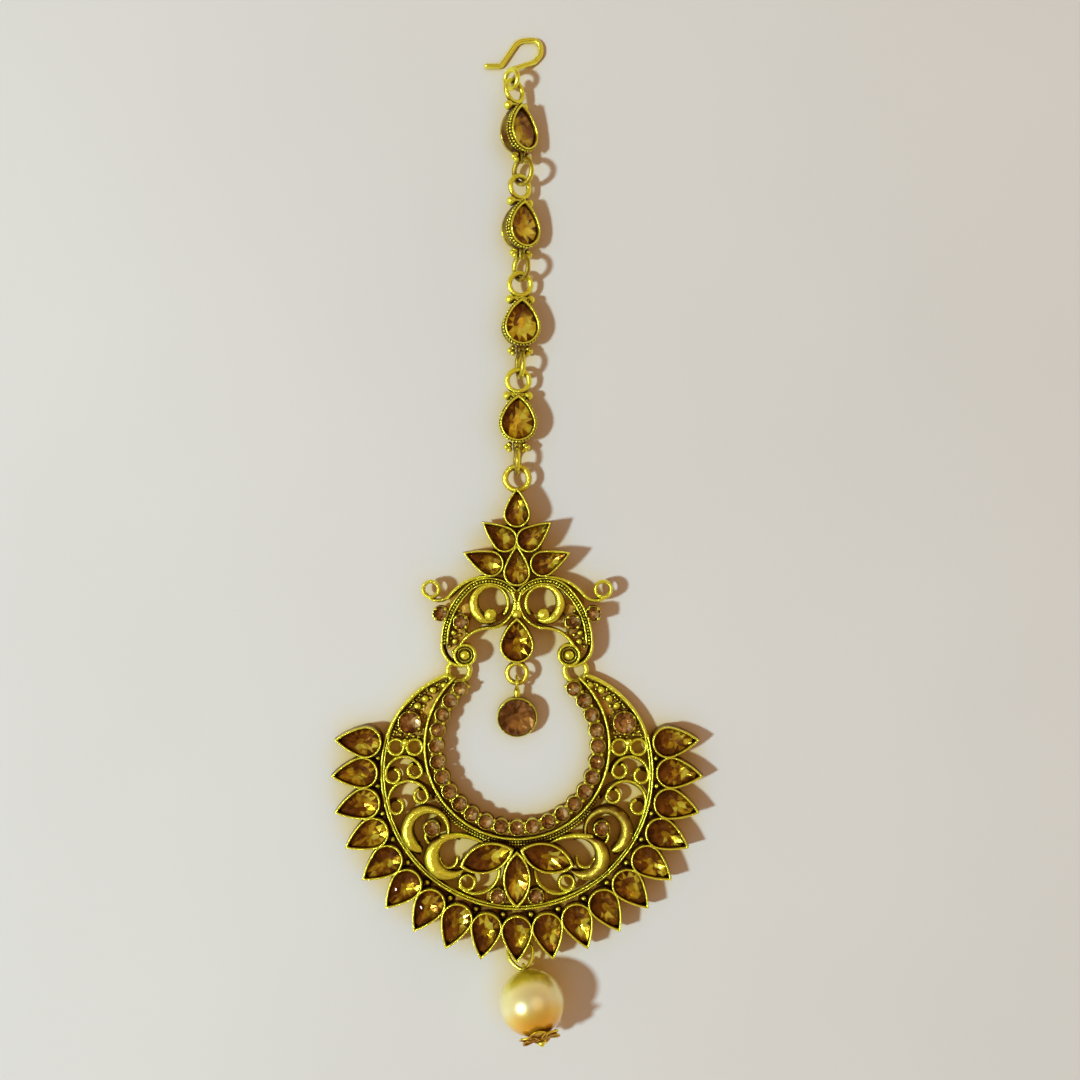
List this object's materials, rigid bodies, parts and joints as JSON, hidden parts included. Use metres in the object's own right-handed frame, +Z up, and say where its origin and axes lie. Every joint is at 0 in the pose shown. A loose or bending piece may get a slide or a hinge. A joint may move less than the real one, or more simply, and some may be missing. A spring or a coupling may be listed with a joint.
{
  "type": "maang tikka",
  "caption": "Antique-gold maang tikka laid flat: hook, pear-set link chain, scrolled crown with drop, pierced crescent with pear-stone petals and a pearl.",
  "frame": {"origin": "centre of the ornament's outline on the surface it lies on", "axes": "+Z up from the surface, +Y along the chain toward the hook, +X to the right seen from above with the hook at the top"},
  "size_m": [0.0462, 0.1251, 0.008],
  "materials": {
    "antique_gold": "antique",
    "gold_wire": "polished",
    "amber_glass": "polished",
    "champagne_glass": "polished",
    "imitation_pearl": "satin"
  },
  "bodies": {
    "root": {"crescent": "antique_gold", "crown": "antique_gold", "crown_round_stones": "champagne_glass", "crown_stone_1": "amber_glass", "crown_stone_2": "amber_glass", "crown_stone_3": "amber_glass", "crown_stone_4": "amber_glass", "crown_stone_5": "amber_glass", "crown_stone_6": "amber_glass", "crown_stone_7": "amber_glass", "drop_setting": "antique_gold", "drop_stone": "champagne_glass", "hook": "gold_wire", "link_1": "antique_gold", "link_2": "antique_gold", "link_3": "antique_gold", "link_4": "antique_gold", "link_stone_1": "amber_glass", "link_stone_2": "amber_glass", "link_stone_3": "amber_glass", "link_stone_4": "amber_glass", "marquise_stone_1": "amber_glass", "marquise_stone_2": "amber_glass", "marquise_stone_3": "amber_glass", "pearl": "imitation_pearl", "pearl_cap": "antique_gold", "pearl_pin": "gold_wire", "petal_stone_01": "amber_glass", "petal_stone_02": "amber_glass", "petal_stone_03": "amber_glass", "petal_stone_04": "amber_glass", "petal_stone_05": "amber_glass", "petal_stone_06": "amber_glass", "petal_stone_07": "amber_glass", "petal_stone_08": "amber_glass", "petal_stone_09": "amber_glass", "petal_stone_10": "amber_glass", "petal_stone_11": "amber_glass", "petal_stone_12": "amber_glass", "petal_stone_13": "amber_glass", "petal_stone_14": "amber_glass", "petal_stone_15": "amber_glass", "petal_stone_16": "amber_glass", "petal_stone_17": "amber_glass", "petal_stone_18": "amber_glass", "petal_stone_19": "amber_glass", "rim_stones": "champagne_glass", "scroll_stones": "champagne_glass"}
  },
  "joints": []
}
